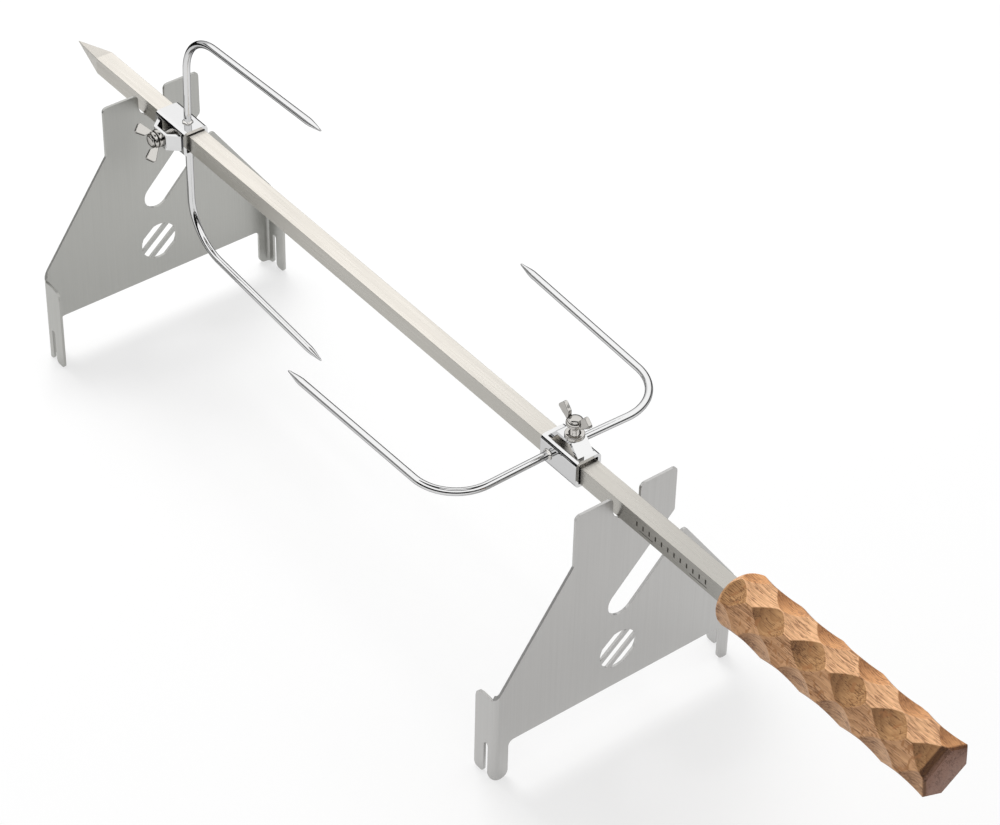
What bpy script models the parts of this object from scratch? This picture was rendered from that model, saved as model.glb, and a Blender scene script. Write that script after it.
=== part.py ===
"""Rotisserie spit roaster: a square spit with a wooden handle, two clamp-on forks and two sheet-steel stands.

Metres, +Z up. The origin is on the ground under the middle of the spit. +X runs from the point to the handle,
and +Y is across the stands, towards the mouths of their hanger slots.
"""

import math

import bmesh
import bpy
from mathutils import Matrix, Vector

MM = 0.001
GAP = 0.3 * MM  # between neighbouring pieces

# The spit
SPIT_LENGTH = 686 * MM
SPIT_HEIGHT = 138.5 * MM  # its axis above the ground
BAR = 10 * MM  # side of the square bar
POINT_LENGTH = 27.3 * MM
TANG_LENGTH = 100 * MM  # the stretch of bar inside the handle

# The handle: a hexagonal bar, its corners scalloped by cylinders that lie across it
HANDLE_LENGTH = 137.2 * MM
# How far each of the handle's sides is from the axis
HANDLE_FLATS = (15.6 * MM, 15.6 * MM, 15.1 * MM, 13.9 * MM, 14.5 * MM, 15.1 * MM)
HANDLE_CORNER = math.radians(6)  # the corner before the first side, measured from +Y towards +Z
SCALLOP_PITCH = 26.05 * MM
SCALLOP_FIRST = 6.2 * MM  # the first scallop's middle, from the handle's front end
SCALLOP_DEPTH = 4.4 * MM  # below the sharp corner
SCALLOP_RADIUS = 21 * MM
NOSE_RADIUS = 12.5 * MM  # the domed front end
NOSE_CENTRE = 3.9 * MM  # from the handle's axis
NOSE_LENGTH = 11.7 * MM
HANDLE_CHAMFER = 1.2 * MM

# The stands: one sheet each, with a flange bent back along both sides
SHEET = 1.5 * MM
STAND_HALF_WIDTH = 73.8 * MM
FAR_STAND_FACE = -270.75 * MM  # x of the outer faces
NEAR_STAND_FACE = 130.95 * MM
BEND_RADIUS = 3 * MM  # outside
FLANGE_DEPTH = 16 * MM
FLANGE_TOP = -87 * MM  # heights of the stands are from the spit's axis
SLOPE_END = -85.8 * MM
FLANGE_CORNER = 5 * MM
EAR_TOP = 7.7 * MM
EAR_HALF_WIDTH = 30.2 * MM
EAR_FOOT_LEFT = -23.2 * MM
EAR_CORNER = 2.5 * MM
NOTCH_RADIUS = 8.2 * MM
NOTCH_CENTRE = 0.8 * MM
SLOT_RADIUS = 7.8 * MM
SLOT_END = -61.4 * MM
SLOT_ANGLE = math.radians(45.9)
VENT_RADIUS = 11.2 * MM
VENT_CENTRE = -92.5 * MM
VENT_ANGLE = math.radians(40)
VENT_SLOT = 5.2 * MM
VENT_PITCH = 7.7 * MM
WEB_BOTTOM = -115.6 * MM
FOOT_WIDTH = 8 * MM
FOOT_CORNER = 4 * MM
FOOT_SLOT = (5.8 * MM, 8.8 * MM)  # in the flange, from the stand's outer face
FOOT_SLOT_TOP = -117.6 * MM

# The forks, each in a frame of its own: the origin is where the screw's axis meets the bar's, +X is towards
# the prongs' tips, and the bridge faces +Z
FAR_SCREW = -239.75 * MM
NEAR_SCREW = 91.65 * MM
FAR_MIDDLE = 0.7 * MM  # the sleeve's middle, from the screw
NEAR_MIDDLE = 2.4 * MM
SLEEVE_HALF_LENGTH = 13.3 * MM
SLEEVE_WALL = 1.8 * MM
SLEEVE_HALF_WIDTH = 7.5 * MM
SLEEVE_FLOOR = -7.1 * MM  # its outside, away from the bridge
SLEEVE_TOP = 8.3 * MM
SLEEVE_CORNER = 2.6 * MM
BRIDGE_HALF_WIDTH = 4.6 * MM
WINDOW_HALF_WIDTH = 5.3 * MM
BRIDGE_TOP = 14.4 * MM
BRIDGE_SHEET = 1.6 * MM
BRIDGE_FOOT = 10.6 * MM  # along the sleeve from its middle
BRIDGE_SHOULDER = 5.6 * MM
BRIDGE_HOLE = 2.8 * MM
PRONG_RADIUS = 2 * MM
PRONG_POINT = 10 * MM
PRONG_TIP_RADIUS = 0.6 * MM
WELD_RADIUS = 3.2 * MM
WELD_HEIGHT = 1 * MM

# The prongs' shapes, each bent by hand: the foot along the sleeve, the widest point from the bar's axis, the
# bend's radius, how far forward the tip reaches, how far the arm flares, how far the foot leans to the tip
PRONGS = {
    "far_a": (5.9 * MM, 69.7 * MM, 28.8 * MM, 122.9 * MM, math.radians(2), math.radians(2.1)),
    "far_b": (5.9 * MM, 69.1 * MM, 27.5 * MM, 119.5 * MM, math.radians(4.3), 0.0),
    "near_a": (9.9 * MM, 67.8 * MM, 24.6 * MM, 122.6 * MM, math.radians(1.2), math.radians(-0.7)),
    "near_b": (9.9 * MM, 66.6 * MM, 27 * MM, 122.8 * MM, math.radians(2.8), math.radians(-1.9)),
}

# The clamp screw, by distance from the bar's axis with the screw done up
STUD_RADIUS = 2.4 * MM
STUD_START = 5.3 * MM
STUD_END = 20.7 * MM
DISC_RADIUS = 3.7 * MM
DISC_START = 19.5 * MM
NUT_RADIUS = 4.9 * MM
NUT_BORE = 2.7 * MM
NUT_START = 14.7 * MM
NUT_END = 16.6 * MM
BOSS_RADIUS = 4.5 * MM
BOSS_START = 16.8 * MM
BOSS_END = 19.2 * MM
WING_ROOT = (3.6 * MM, 18.7 * MM)  # radius from the screw's axis, distance from the bar's
WING_TIP = (8 * MM, 22.9 * MM)
WING_HALF_WIDTHS = (1.9 * MM, 3 * MM)
WING_END = 2.1 * MM  # how far the wing runs on past WING_TIP
WING_CORNER = 1.2 * MM
WING_THICKNESS = 2.2 * MM
NEAR_WING_TURN = math.radians(1.4)  # of the wings about the screw, from the bar's direction
FAR_WING_TURN = math.radians(-50.4)
NEAR_LIFT = 4.6 * MM  # how far the near screw is undone

AXIS = Vector((0, 0, SPIT_HEIGHT))
HALF = SPIT_LENGTH / 2
HANDLE_FRONT = HALF - HANDLE_LENGTH


# ---------------------------------------------------------------- helpers


def clear_scene():
    for obj in list(bpy.data.objects):
        bpy.data.objects.remove(obj, do_unlink=True)


def material(name, colour, roughness, metallic):
    made = bpy.data.materials.new(name)
    made.use_nodes = True
    shader = made.node_tree.nodes["Principled BSDF"]
    shader.inputs["Base Color"].default_value = (*colour, 1)
    shader.inputs["Roughness"].default_value = roughness
    shader.inputs["Metallic"].default_value = metallic
    return made


def new_object(name, mesh_builder, parent=None):
    """Makes a mesh object from a bmesh, with its faces turned outwards."""
    bmesh.ops.recalc_face_normals(mesh_builder, faces=mesh_builder.faces)
    mesh = bpy.data.meshes.new(name)
    mesh_builder.to_mesh(mesh)
    mesh_builder.free()
    obj = bpy.data.objects.new(name, mesh)
    bpy.context.scene.collection.objects.link(obj)
    obj.parent = parent
    return obj


def finish(obj, look, sharp_degrees=30):
    obj.data.materials.append(look)
    if obj.type == "MESH":
        obj.data.shade_smooth()
        obj.data.set_sharp_from_angle(angle=math.radians(sharp_degrees))


def empty(name, place, turn=None, parent=None):
    obj = bpy.data.objects.new(name, None)
    bpy.context.scene.collection.objects.link(obj)
    obj.parent = parent
    obj.location = place
    if turn is not None:
        obj.rotation_euler = turn
    return obj


def arc(centre, radius, start, end, steps):
    """Points on an arc, angles in degrees."""
    points = []
    for step in range(steps + 1):
        angle = math.radians(start + (end - start) * step / steps)
        points.append((centre[0] + radius * math.cos(angle), centre[1] + radius * math.sin(angle)))
    return points


def rounded(corners, steps=3):
    """An outline from (a, b) points and (a, b, radius) corners, with an arc at each corner."""
    outline = []
    for index, corner in enumerate(corners):
        if len(corner) == 2:
            outline.append(corner)
            continue
        here = Vector(corner[:2])
        before = (Vector(corners[index - 1][:2]) - here).normalized()
        after = (Vector(corners[(index + 1) % len(corners)][:2]) - here).normalized()
        half_angle = before.angle(after) / 2
        centre = here + (before + after).normalized() * corner[2] / math.sin(half_angle)
        start = here + before * corner[2] / math.tan(half_angle) - centre
        end = here + after * corner[2] / math.tan(half_angle) - centre
        turn = start.angle_signed(end)
        for step in range(steps + 1):
            spoke = start.copy()
            spoke.rotate(Matrix.Rotation(-turn * step / steps, 2))
            outline.append(tuple(centre + spoke))
    return outline


def prism(name, outlines, to_space, low, high, parent=None):
    """Extrudes outlines. to_space turns an outline point and a depth into a place."""
    builder = bmesh.new()
    for outline in outlines:
        ends = [[builder.verts.new(to_space(a, b, depth)) for a, b in outline] for depth in (low, high)]
        for end in ends:
            builder.faces.new(end)
        for index in range(len(outline)):
            back = index - 1
            builder.faces.new((ends[0][back], ends[0][index], ends[1][index], ends[1][back]))
    return new_object(name, builder, parent)


def turned(name, profile, segments=20, ring=False, parent=None):
    """Turns (radius, height) points about Z. A ring's profile closes on itself, clear of the axis."""
    builder = bmesh.new()
    loops = []
    for radius, height in profile:
        count = segments if radius > 0 else 1
        angles = [math.tau * step / segments for step in range(count)]
        loops.append(
            [builder.verts.new((radius * math.cos(a), radius * math.sin(a), height)) for a in angles]
        )
    pairs = list(zip(loops, loops[1:]))
    if ring:
        pairs.append((loops[-1], loops[0]))
    for lower, upper in pairs:
        for step in range(segments):
            corners = []
            for loop, index in ((lower, step), (lower, step + 1), (upper, step + 1), (upper, step)):
                vertex = loop[index % len(loop)]
                if vertex not in corners:
                    corners.append(vertex)
            if len(corners) > 2:
                builder.faces.new(corners)
    return new_object(name, builder, parent)


def combine(obj, other, operation):
    """Joins, cuts or crosses obj with a helper object that is left out of the model."""
    other.hide_render = True
    other.display_type = "WIRE"
    step = obj.modifiers.new(operation.lower(), "BOOLEAN")
    step.operation = operation
    step.solver = "EXACT"
    step.object = other


# ---------------------------------------------------------------- the spit


def spit_bar(look):
    builder = bmesh.new()
    half = BAR / 2
    rings = []
    for x in (-HALF + POINT_LENGTH, HANDLE_FRONT + TANG_LENGTH):
        corners = ((half, half), (-half, half), (-half, -half), (half, -half))
        rings.append([builder.verts.new((x, y, z)) for y, z in corners])
    apex = builder.verts.new((-HALF, 0, 0))
    for side in range(4):
        ahead = (side + 1) % 4
        builder.faces.new((rings[0][side], rings[0][ahead], rings[1][ahead], rings[1][side]))
        builder.faces.new((apex, rings[0][side], rings[0][ahead]))
    builder.faces.new(rings[1])
    bar = new_object("spit_bar", builder)
    bar.location = AXIS
    finish(bar, look)


def scallop_sag(along):
    """How far a scallop's surface has risen above its floor, at a distance behind the handle's front end."""
    offset = (along - SCALLOP_FIRST + SCALLOP_PITCH / 2) % SCALLOP_PITCH - SCALLOP_PITCH / 2
    return SCALLOP_RADIUS - math.sqrt(SCALLOP_RADIUS**2 - offset**2)


def handle_section(along):
    """The twelve corners of the handle's section: six sides, their corners cut to the scallops' depth."""
    cosine, sine = math.cos(math.pi / 6), math.sin(math.pi / 6)
    limit = math.inf
    if along < NOSE_LENGTH:
        limit = NOSE_CENTRE + math.sqrt(NOSE_RADIUS**2 - (NOSE_LENGTH - along) ** 2)
    inset = max(0.0, along - HANDLE_LENGTH + HANDLE_CHAMFER)
    flats = [min(flat - inset, limit) for flat in HANDLE_FLATS]
    cuts = []
    for corner in range(6):
        sharp = (HANDLE_FLATS[corner - 1] + HANDLE_FLATS[corner]) / (2 * cosine)
        cut = min(sharp - SCALLOP_DEPTH + scallop_sag(along) - inset, limit)
        sharpest = (flats[corner - 1] + flats[corner]) / (2 * cosine) - 0.1 * MM
        cuts.append(min(cut, sharpest))
    least = 0.05 * MM
    points = []
    for corner in range(6):
        # A cut ends where it crosses the side next to it, or the next corner's cut if that comes first.
        cut, before, after = cuts[corner], cuts[corner - 1], cuts[(corner + 1) % 6]
        back = min(
            (flats[corner - 1] - cut * cosine) / sine,
            (before - cut * sine) / cosine - least,
        )
        ahead = min((flats[corner] - cut * cosine) / sine, (after - cut * sine) / cosine - least)
        angle = HANDLE_CORNER + corner * math.pi / 3
        outward = Vector((math.cos(angle), math.sin(angle)))
        across = Vector((-outward.y, outward.x))
        points += [outward * cut - across * back, outward * cut + across * ahead]
    return points


def handle(look):
    nose = [share * NOSE_LENGTH for share in (0, 0.04, 0.12, 0.25, 0.4, 0.6, 0.8, 1)]
    body_length = HANDLE_LENGTH - HANDLE_CHAMFER - NOSE_LENGTH
    body_steps = 38
    body = [NOSE_LENGTH + body_length * step / body_steps for step in range(1, body_steps + 1)]
    builder = bmesh.new()
    rings = []
    for along in nose + body + [HANDLE_LENGTH]:
        section = handle_section(along)
        rings.append([builder.verts.new((along, point.x, point.y)) for point in section])
    for front, back in zip(rings, rings[1:]):
        for side in range(12):
            builder.faces.new((front[side - 1], front[side], back[side], back[side - 1]))
    builder.faces.new(rings[0])
    builder.faces.new(rings[-1])
    grip = new_object("handle", builder)
    grip.location = AXIS + Vector((HANDLE_FRONT, 0, 0))
    hole = BAR / 2 + GAP
    corners = ((-hole, -hole), (hole, -hole), (hole, hole), (-hole, hole))
    socket = prism(
        "handle_socket",
        [corners],
        lambda y, z, x: (x, y, z),
        -MM,
        TANG_LENGTH + GAP,
        grip,
    )
    combine(grip, socket, "DIFFERENCE")
    finish(grip, look, 12)


# ---------------------------------------------------------------- the stands


def stand_outline():
    """The web in (y, z): feet, slopes, ears, spit notch and the slanting hanger slot."""
    below = -SPIT_HEIGHT - SHEET
    foot = STAND_HALF_WIDTH - FOOT_WIDTH
    beyond = STAND_HALF_WIDTH + SHEET
    slope = (EAR_FOOT_LEFT - SLOPE_END) / (STAND_HALF_WIDTH - EAR_HALF_WIDTH)
    overrun = SLOPE_END - slope * (beyond - STAND_HALF_WIDTH)

    along = Vector((math.cos(SLOT_ANGLE), math.sin(SLOT_ANGLE)))
    upper = Vector((-along.y, along.x)) * SLOT_RADIUS
    rise = along.y / along.x
    ear_foot = SLOT_END + upper.y + (EAR_HALF_WIDTH - upper.x) * rise
    lip_y = (SLOPE_END + STAND_HALF_WIDTH * slope - SLOT_END + upper.y - upper.x * rise) / (slope + rise)
    lip_z = SLOPE_END + (STAND_HALF_WIDTH - lip_y) * slope
    degrees = math.degrees(SLOT_ANGLE)

    outline = rounded([(-beyond, below), (-foot - FOOT_CORNER, below)])
    outline += arc((-foot - FOOT_CORNER, -SPIT_HEIGHT + FOOT_CORNER), FOOT_CORNER, -90, 0, 4)
    outline += arc((-foot + 3 * MM, WEB_BOTTOM - 3 * MM), 3 * MM, 180, 90, 4)
    outline += arc((foot - 3 * MM, WEB_BOTTOM - 3 * MM), 3 * MM, 90, 0, 4)
    outline += arc((foot + FOOT_CORNER, -SPIT_HEIGHT + FOOT_CORNER), FOOT_CORNER, 180, 270, 4)
    outline += [(foot + FOOT_CORNER, below), (beyond, below), (beyond, overrun)]
    inside_slot = (lip_y - along.x * 10 * MM, lip_z - along.y * 10 * MM)
    outline += rounded([(beyond, overrun), (lip_y, lip_z, 2.5 * MM), inside_slot])[1:-1]
    outline += arc((0, SLOT_END), SLOT_RADIUS, degrees - 90, degrees - 270, 12)
    right_ear = [
        (0, SLOT_END),
        (EAR_HALF_WIDTH, ear_foot, EAR_CORNER),
        (EAR_HALF_WIDTH, EAR_TOP, EAR_CORNER),
        (NOTCH_RADIUS, EAR_TOP, EAR_CORNER),
        (NOTCH_RADIUS, NOTCH_CENTRE),
    ]
    right_ear[0] = (upper.x, SLOT_END + upper.y)
    outline += rounded(right_ear)[1:-1]
    outline += arc((0, NOTCH_CENTRE), NOTCH_RADIUS, 0, -180, 12)
    left_ear = [
        (-NOTCH_RADIUS, NOTCH_CENTRE),
        (-NOTCH_RADIUS, EAR_TOP, EAR_CORNER),
        (-EAR_HALF_WIDTH, EAR_TOP, EAR_CORNER),
        (-EAR_HALF_WIDTH, EAR_FOOT_LEFT),
    ]
    outline += rounded(left_ear)[1:]
    outline.append((-beyond, overrun))
    return outline


def flange_outline():
    """The stand from its side, in (distance from the outer face, z)."""
    above = EAR_TOP + 5 * MM
    round_foot = 2.2 * MM
    near, far = FOOT_SLOT
    slot_round = (far - near) / 2
    bend_prong = [(-SHEET, -SPIT_HEIGHT), (near, -SPIT_HEIGHT, round_foot), (near, FOOT_SLOT_TOP)]
    outline = rounded(bend_prong)[:-1]
    outline += arc(((near + far) / 2, FOOT_SLOT_TOP - slot_round), slot_round, 180, 0, 6)
    free_prong = [
        (far, FOOT_SLOT_TOP),
        (far, -SPIT_HEIGHT, round_foot),
        (FLANGE_DEPTH, -SPIT_HEIGHT, round_foot),
        (FLANGE_DEPTH, FLANGE_TOP, FLANGE_CORNER),
        (BEND_RADIUS + 0.2 * MM, FLANGE_TOP),
        (BEND_RADIUS + 0.2 * MM, above),
    ]
    outline += rounded(free_prong)[1:]
    outline.append((-SHEET, above))
    return outline


def channel_outline():
    """The bent sheet from above, in (distance from the outer face, y): a web between two flanges."""
    half = STAND_HALF_WIDTH
    end = FLANGE_DEPTH + 2 * MM
    inner = BEND_RADIUS - SHEET
    middle = half - BEND_RADIUS
    outline = [(end, half)] + arc((BEND_RADIUS, middle), BEND_RADIUS, 90, 180, 4)
    outline += arc((BEND_RADIUS, -middle), BEND_RADIUS, 180, 270, 4) + [(end, -half)]
    outline += [(end, -half + SHEET)] + arc((BEND_RADIUS, -middle), inner, 270, 180, 4)
    outline += arc((BEND_RADIUS, middle), inner, 180, 90, 4) + [(end, half - SHEET)]
    return outline


def vent_slot(middle):
    """One of the parallel vent slots, its ends on the vent's circle, in (y, z)."""
    along = Vector((math.cos(VENT_ANGLE), math.sin(VENT_ANGLE)))
    across = Vector((-along.y, along.x))
    steps = 4
    ends = []
    for step in range(steps + 1):
        offset = middle + VENT_SLOT * (step / steps - 0.5)
        ends.append((offset, math.sqrt(VENT_RADIUS**2 - offset**2)))
    points = [across * offset + along * reach for offset, reach in ends]
    points += [across * offset - along * reach for offset, reach in reversed(ends)]
    return [(point.x, point.y + VENT_CENTRE) for point in points]


def stand(name, face_x, inward, look):
    """One stand. inward is +1 or -1, the way its flanges point along X."""
    place = empty(name + "_place", (face_x, 0, SPIT_HEIGHT))
    body = prism(
        name,
        [channel_outline()],
        lambda depth, y, z: (inward * depth, y, z),
        -SPIT_HEIGHT - SHEET / 2,
        EAR_TOP + 2 * MM,
        place,
    )
    web = prism(
        name + "_web",
        [stand_outline()],
        lambda y, z, depth: (inward * depth, y, z),
        -2 * MM,
        FLANGE_DEPTH + 4 * MM,
        place,
    )
    side = prism(
        name + "_side",
        [flange_outline()],
        lambda depth, z, y: (inward * depth, y, z),
        -STAND_HALF_WIDTH - SHEET,
        STAND_HALF_WIDTH + SHEET,
        place,
    )
    vent = prism(
        name + "_vent",
        [vent_slot(offset) for offset in (-VENT_PITCH, 0, VENT_PITCH)],
        lambda y, z, depth: (inward * depth, y, z),
        -2 * MM,
        4 * MM,
        place,
    )
    combine(body, web, "INTERSECT")
    combine(body, side, "INTERSECT")
    combine(body, vent, "DIFFERENCE")
    finish(body, look)


# ---------------------------------------------------------------- the forks


def sleeve(name, place, middle, look):
    """The sheet sleeve around the bar, with a bridge pressed up from one side to carry the clamp nut."""

    def along(y, z, x):
        return (x, y, z)

    def box(half_width, floor, top, corner):
        corners = ((half_width, top), (-half_width, top), (-half_width, floor), (half_width, floor))
        return rounded([(*here, corner) for here in corners], 6)

    back, front = middle - SLEEVE_HALF_LENGTH, middle + SLEEVE_HALF_LENGTH
    outside = box(SLEEVE_HALF_WIDTH, SLEEVE_FLOOR, SLEEVE_TOP, SLEEVE_CORNER)
    body = prism(name, [outside], along, back, front, place)
    inner_top = SLEEVE_TOP - SLEEVE_WALL
    inside = box(
        SLEEVE_HALF_WIDTH - SLEEVE_WALL, SLEEVE_FLOOR + SLEEVE_WALL, inner_top, SLEEVE_CORNER - SLEEVE_WALL
    )
    bore = prism(name + "_bore", [inside], along, back - MM, front + MM, place)
    opening = WINDOW_HALF_WIDTH
    above = SLEEVE_TOP + MM
    window_outline = [(-opening, 0), (opening, 0), (opening, above), (-opening, above)]
    foot_back, foot_front = middle - BRIDGE_FOOT, middle + BRIDGE_FOOT
    window = prism(name + "_window", [window_outline], along, foot_back, foot_front, place)

    anchor = 0.8 * MM  # how far the bridge's ends run on into the sleeve's wall
    skin = 0.02 * MM
    under = BRIDGE_TOP - BRIDGE_SHEET
    lean = 0.55 * BRIDGE_SHEET  # the sheet's thickness, measured along the sleeve, where a ramp bends
    outline = []
    for side in (-1, 1):
        foot, shoulder = middle + side * BRIDGE_FOOT, middle + side * BRIDGE_SHOULDER
        half = [
            (foot + side * anchor, inner_top + skin),
            (foot + side * anchor, SLEEVE_TOP - skin),
            (foot + side * lean / 2, SLEEVE_TOP - skin),
            (shoulder, BRIDGE_TOP, 1.5 * MM),
        ]
        inner_half = [(shoulder - side * lean, under), (foot - side * lean, inner_top + skin)]
        outline.append((half, inner_half))
    (back_half, back_inner), (front_half, front_inner) = outline
    strap_outline = back_half + front_half[::-1] + front_inner[::-1] + back_inner
    band = BRIDGE_HALF_WIDTH
    strap = prism(
        name + "_strap", [rounded(strap_outline, 5)], lambda x, z, y: (x, y, z), -band, band, place
    )
    hole = turned(
        name + "_hole",
        [(0, under - MM), (BRIDGE_HOLE, under - MM), (BRIDGE_HOLE, above + 8 * MM), (0, above + 8 * MM)],
        parent=place,
    )
    combine(body, bore, "DIFFERENCE")
    combine(body, window, "DIFFERENCE")
    combine(body, strap, "UNION")
    combine(body, hole, "DIFFERENCE")
    finish(body, look)


def prong(name, place, side, shape, look):
    """A round wire out of the sleeve's side, bent forwards and drawn to a point. side is +1 or -1 in Y."""
    foot, half_span, bend, reach, flare, lean = shape
    start = SLEEVE_HALF_WIDTH + GAP
    bend_start = half_span - bend
    rise = math.tan(lean)
    turn_x = foot + (bend_start - start) * rise
    route = [(foot, start)]
    bend_steps = 10
    for step in range(bend_steps + 1):
        angle = lean + (math.pi / 2 - flare - lean) * step / bend_steps
        x = turn_x + bend * (math.cos(lean) - math.cos(angle))
        route.append((x, bend_start + bend * (math.sin(angle) - math.sin(lean))))
    bend_x, bend_y = route[-1]
    for x in (foot + reach - PRONG_POINT, foot + reach):
        route.append((x, bend_y + (x - bend_x) * math.tan(flare)))

    curve = bpy.data.curves.new(name, "CURVE")
    curve.dimensions = "3D"
    curve.bevel_depth = PRONG_RADIUS
    curve.bevel_resolution = 4
    curve.use_fill_caps = True
    spline = curve.splines.new("POLY")
    spline.points.add(len(route) - 1)
    for point, (x, y) in zip(spline.points, route):
        point.co = (x, side * y, 0, 1)
    spline.points[-1].radius = PRONG_TIP_RADIUS / PRONG_RADIUS
    wire = bpy.data.objects.new(name, curve)
    bpy.context.scene.collection.objects.link(wire)
    wire.parent = place
    finish(wire, look)


def weld(name, place, side, foot, look):
    """The bead where a prong meets the sleeve."""
    bore = PRONG_RADIUS + GAP
    profile = [
        (bore, 0),
        (WELD_RADIUS, 0),
        (WELD_RADIUS - 0.1 * MM, WELD_HEIGHT * 0.5),
        (WELD_RADIUS - 0.5 * MM, WELD_HEIGHT),
        (bore, WELD_HEIGHT),
    ]
    bead = turned(name, profile, 16, ring=True, parent=place)
    bead.location = (foot, side * (SLEEVE_HALF_WIDTH + GAP), 0)
    bead.rotation_euler = (-side * math.pi / 2, 0, 0)
    finish(bead, look)


def clamp_nut(name, place, look):
    """The round nut on the bridge."""
    soft = 0.4 * MM
    profile = [
        (NUT_BORE, NUT_START),
        (NUT_RADIUS - soft / 2, NUT_START),
        (NUT_RADIUS, NUT_START + soft),
        (NUT_RADIUS, NUT_END - soft),
        (NUT_RADIUS - soft, NUT_END),
        (NUT_BORE, NUT_END),
    ]
    finish(turned(name, profile, ring=True, parent=place), look)


def clamp_stud(name, place, look):
    """The screw, its end spread into a domed disc over the wing head."""
    dome = 0.9 * MM
    profile = [
        (0, STUD_START),
        (STUD_RADIUS - 0.5 * MM, STUD_START),
        (STUD_RADIUS, STUD_START + 0.5 * MM),
        (STUD_RADIUS, DISC_START),
        (DISC_RADIUS, DISC_START),
        (DISC_RADIUS, STUD_END - dome),
        (DISC_RADIUS * 0.75, STUD_END - dome / 3),
        (0, STUD_END),
    ]
    finish(turned(name, profile, parent=place), look)


def wing_outline():
    """One wing in (radius, height): a flat paddle that widens to a squared end with round corners."""
    root, tip = Vector(WING_ROOT), Vector(WING_TIP)
    along = (tip - root).normalized()
    across = Vector((-along.y, along.x))
    lean = math.degrees(math.atan2(along.y, along.x))
    outline = arc(root, WING_HALF_WIDTHS[0], lean + 90, lean + 270, 4)
    for side in (-1, 1):
        corner = tip + along * WING_END + across * side * WING_HALF_WIDTHS[1]
        outline.append((corner.x, corner.y, WING_CORNER))
    return rounded(outline, 4)


def wing_head(name, place, turn, look):
    """The boss and its two wings, turned about the screw."""
    soft = 0.5 * MM
    profile = [
        (0, BOSS_START),
        (BOSS_RADIUS - soft, BOSS_START),
        (BOSS_RADIUS, BOSS_START + soft),
        (BOSS_RADIUS, BOSS_END - soft),
        (BOSS_RADIUS - soft, BOSS_END),
        (0, BOSS_END),
    ]
    boss = turned(name, profile, 24, parent=place)
    boss.rotation_euler = (0, 0, turn)
    outline = wing_outline()
    for word, side in (("front", 1), ("back", -1)):
        wing = prism(
            f"{name}_{word}",
            [outline],
            lambda radius, height, depth, side=side: (side * radius, depth, height),
            -WING_THICKNESS / 2,
            WING_THICKNESS / 2,
            boss,
        )
        combine(boss, wing, "UNION")
    clear_of_disc = DISC_RADIUS + GAP
    step_height = BOSS_END + GAP / 3
    above = BOSS_END + 9 * MM
    bore_profile = [
        (0, BOSS_START - MM),
        (NUT_BORE, BOSS_START - MM),
        (NUT_BORE, step_height),
        (clear_of_disc, step_height),
        (clear_of_disc, above),
        (0, above),
    ]
    bore = turned(name + "_bore", bore_profile, parent=boss)
    combine(boss, bore, "DIFFERENCE")
    finish(boss, look)


def fork(word, screw_x, middle, turn, lift, wing_turn, looks):
    """One fork with its clamp. turn takes its frame to the spit's; lift is how far the screw is undone."""
    place = empty(f"fork_{word}_place", (screw_x, 0, SPIT_HEIGHT), turn)
    sleeve(f"fork_{word}_sleeve", place, middle, looks["chrome"])
    for hand, side in (("a", 1), ("b", -1)):
        shape = PRONGS[f"{word}_{hand}"]
        prong(f"fork_{word}_prong_{hand}", place, side, shape, looks["chrome"])
        weld(f"fork_{word}_weld_{hand}", place, side, shape[0], looks["weld"])
    clamp_nut(f"fork_{word}_clamp_nut", place, looks["chrome"])
    lifted = empty(f"fork_{word}_screw_place", (0, 0, lift), parent=place)
    clamp_stud(f"fork_{word}_clamp_stud", lifted, looks["screw"])
    wing_head(f"fork_{word}_wing_head", lifted, wing_turn, looks["screw"])


def main():
    clear_scene()
    looks = {
        "bar": material("spit_steel", (0.72, 0.69, 0.63), 0.32, 1.0),
        "wood": material("handle_wood", (0.62, 0.36, 0.2), 0.6, 0.0),
        "sheet": material("stand_steel", (0.48, 0.48, 0.46), 0.38, 1.0),
        "chrome": material("fork_chrome", (0.8, 0.8, 0.82), 0.08, 1.0),
        "weld": material("weld_metal", (0.6, 0.58, 0.55), 0.35, 1.0),
        "screw": material("clamp_steel", (0.7, 0.68, 0.64), 0.15, 1.0),
    }
    spit_bar(looks["bar"])
    handle(looks["wood"])
    stand("stand_far", FAR_STAND_FACE, 1, looks["sheet"])
    stand("stand_near", NEAR_STAND_FACE, -1, looks["sheet"])
    fork("far", FAR_SCREW, FAR_MIDDLE, (math.pi / 2, 0, 0), 0.0, FAR_WING_TURN, looks)
    fork("near", NEAR_SCREW, NEAR_MIDDLE, (0, 0, math.pi), NEAR_LIFT, NEAR_WING_TURN, looks)


main()
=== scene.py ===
"""The looks of the rotisserie spit roaster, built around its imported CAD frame.

The stands, the spit bar, the sleeves and the wing heads stay the CAD's own solids, with softened edges.
The handle, the prongs, the weld beads, the nuts and the clamp screws are built again here in finer detail.
"""

import math
import random

import bmesh
import bpy
from mathutils import Matrix, Vector, noise


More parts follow.
